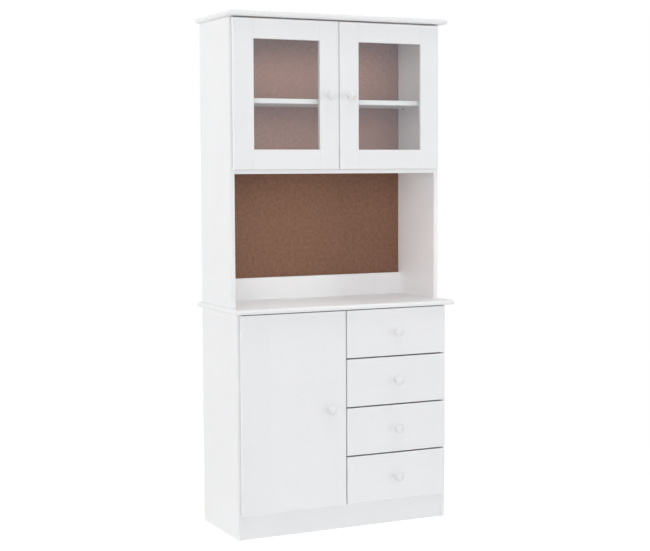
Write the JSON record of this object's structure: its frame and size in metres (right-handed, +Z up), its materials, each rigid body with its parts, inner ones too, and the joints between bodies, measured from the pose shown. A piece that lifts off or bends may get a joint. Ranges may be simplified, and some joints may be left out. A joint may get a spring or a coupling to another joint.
{
  "type": "tall sideboard",
  "caption": "Tall painted pine sideboard with a glazed hutch above an open niche and counter, and a base with a hinged door beside a stack of drawers.",
  "frame": {"origin": "on the floor, under the middle of the outer box", "axes": "+Z up, +Y to the rear, +X to the right of someone who faces the front"},
  "size_m": [0.8, 0.3544, 1.7],
  "materials": {
    "white_paint": "satin white paint",
    "white_knob": "satin white paint",
    "hardboard": "smooth brown hardboard",
    "raw_pine": "sanded, unpainted",
    "beech": "fluted dowel",
    "steel": "nickel plated",
    "clear_glass": "clear float glass"
  },
  "bodies": {
    "carcass": {"base_side_left": "white_paint", "base_side_right": "white_paint", "base_bottom": "white_paint", "base_plinth": "white_paint", "base_divider": "white_paint", "base_back": "hardboard", "base_shelf": "white_paint", "counter_board": "white_paint", "hutch_side_left": "white_paint", "hutch_side_right": "white_paint", "hutch_floor": "white_paint", "niche_rail": "white_paint", "hutch_shelf": "white_paint", "hutch_back": "hardboard", "crown_board": "white_paint", "drawer_runners": "raw_pine", "carcass_dowels": "beech", "shelf_pins": "steel", "hinge_arms": "steel", "hinge_screws": "steel", "back_nails": "steel"},
    "lower_door": {"lower_door_panel": "white_paint", "lower_door_knob": "white_knob", "lower_door_hinges": "steel"},
    "left_glazed_door": {"left_glazed_door_hinge_stile": "white_paint", "left_glazed_door_meeting_stile": "white_paint", "left_glazed_door_top_rail": "white_paint", "left_glazed_door_bottom_rail": "white_paint", "left_glazed_door_glass": "clear_glass", "left_glazed_door_glass_beads": "white_paint", "left_glazed_door_knob": "white_knob", "left_glazed_door_hinges": "steel"},
    "right_glazed_door": {"right_glazed_door_hinge_stile": "white_paint", "right_glazed_door_meeting_stile": "white_paint", "right_glazed_door_top_rail": "white_paint", "right_glazed_door_bottom_rail": "white_paint", "right_glazed_door_glass": "clear_glass", "right_glazed_door_glass_beads": "white_paint", "right_glazed_door_knob": "white_knob", "right_glazed_door_hinges": "steel"},
    "drawer_1": {"drawer_1_front": "white_paint", "drawer_1_sides": "raw_pine", "drawer_1_back": "raw_pine", "drawer_1_bottom": "hardboard", "drawer_1_knob": "white_knob"},
    "drawer_2": {"drawer_2_front": "white_paint", "drawer_2_sides": "raw_pine", "drawer_2_back": "raw_pine", "drawer_2_bottom": "hardboard", "drawer_2_knob": "white_knob"},
    "drawer_3": {"drawer_3_front": "white_paint", "drawer_3_sides": "raw_pine", "drawer_3_back": "raw_pine", "drawer_3_bottom": "hardboard", "drawer_3_knob": "white_knob"},
    "drawer_4": {"drawer_4_front": "white_paint", "drawer_4_sides": "raw_pine", "drawer_4_back": "raw_pine", "drawer_4_bottom": "hardboard", "drawer_4_knob": "white_knob"}
  },
  "joints": [
    {"name": "lower_door_hinge", "type": "hinge", "parent": "carcass", "child": "lower_door", "pos_m": [-0.368, -0.14325, 0.408], "axis": [0, 0, -1], "range_deg": [0, 95]},
    {"name": "left_glazed_door_hinge", "type": "hinge", "parent": "carcass", "child": "left_glazed_door", "pos_m": [-0.368, -0.09525, 1.4385], "axis": [0, 0, -1], "range_deg": [0, 95]},
    {"name": "right_glazed_door_hinge", "type": "hinge", "parent": "carcass", "child": "right_glazed_door", "pos_m": [0.368, -0.09525, 1.4385], "axis": [0, 0, 1], "range_deg": [0, 95]},
    {"name": "drawer_1_slide", "type": "slide", "parent": "carcass", "child": "drawer_1", "axis": [0, -1, 0], "range_m": [0, 0.2]},
    {"name": "drawer_2_slide", "type": "slide", "parent": "carcass", "child": "drawer_2", "axis": [0, -1, 0], "range_m": [0, 0.2]},
    {"name": "drawer_3_slide", "type": "slide", "parent": "carcass", "child": "drawer_3", "axis": [0, -1, 0], "range_m": [0, 0.2]},
    {"name": "drawer_4_slide", "type": "slide", "parent": "carcass", "child": "drawer_4", "axis": [0, -1, 0], "range_m": [0, 0.2]}
  ]
}
